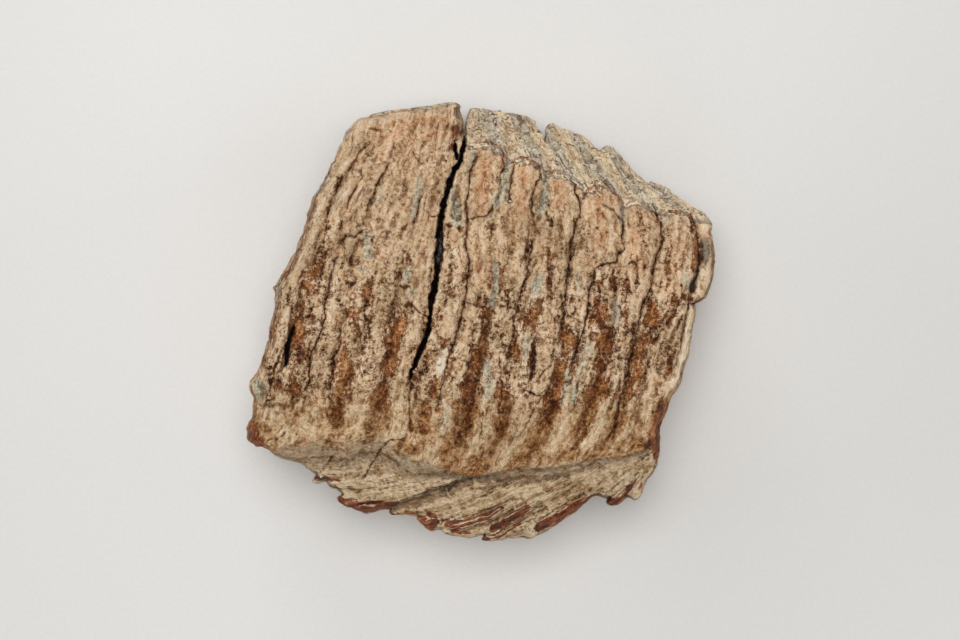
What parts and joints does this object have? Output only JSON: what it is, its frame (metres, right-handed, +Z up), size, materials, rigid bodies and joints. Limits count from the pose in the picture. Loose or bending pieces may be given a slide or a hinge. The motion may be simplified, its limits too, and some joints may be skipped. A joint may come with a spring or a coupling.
{
  "type": "fossil mammoth tooth",
  "caption": "Broken fossil molar of a mammoth lying on its side: a thick slab of ribbed enamel plates set in cement, with a worn chewing end, a ragged root end and an open crack.",
  "frame": {"origin": "centre of the bounding box in plan, on the surface that the tooth lies on", "axes": "+X along the row of plates, +Y to the chewing surface, +Z up out of the upper cheek face"},
  "size_m": [0.1354, 0.1278, 0.0703],
  "materials": {
    "fossil_tooth": "dusty tan cement over worn red-brown enamel, matt with small glossy places"
  },
  "bodies": {
    "root": {"tooth": "fossil_tooth"}
  },
  "joints": []
}
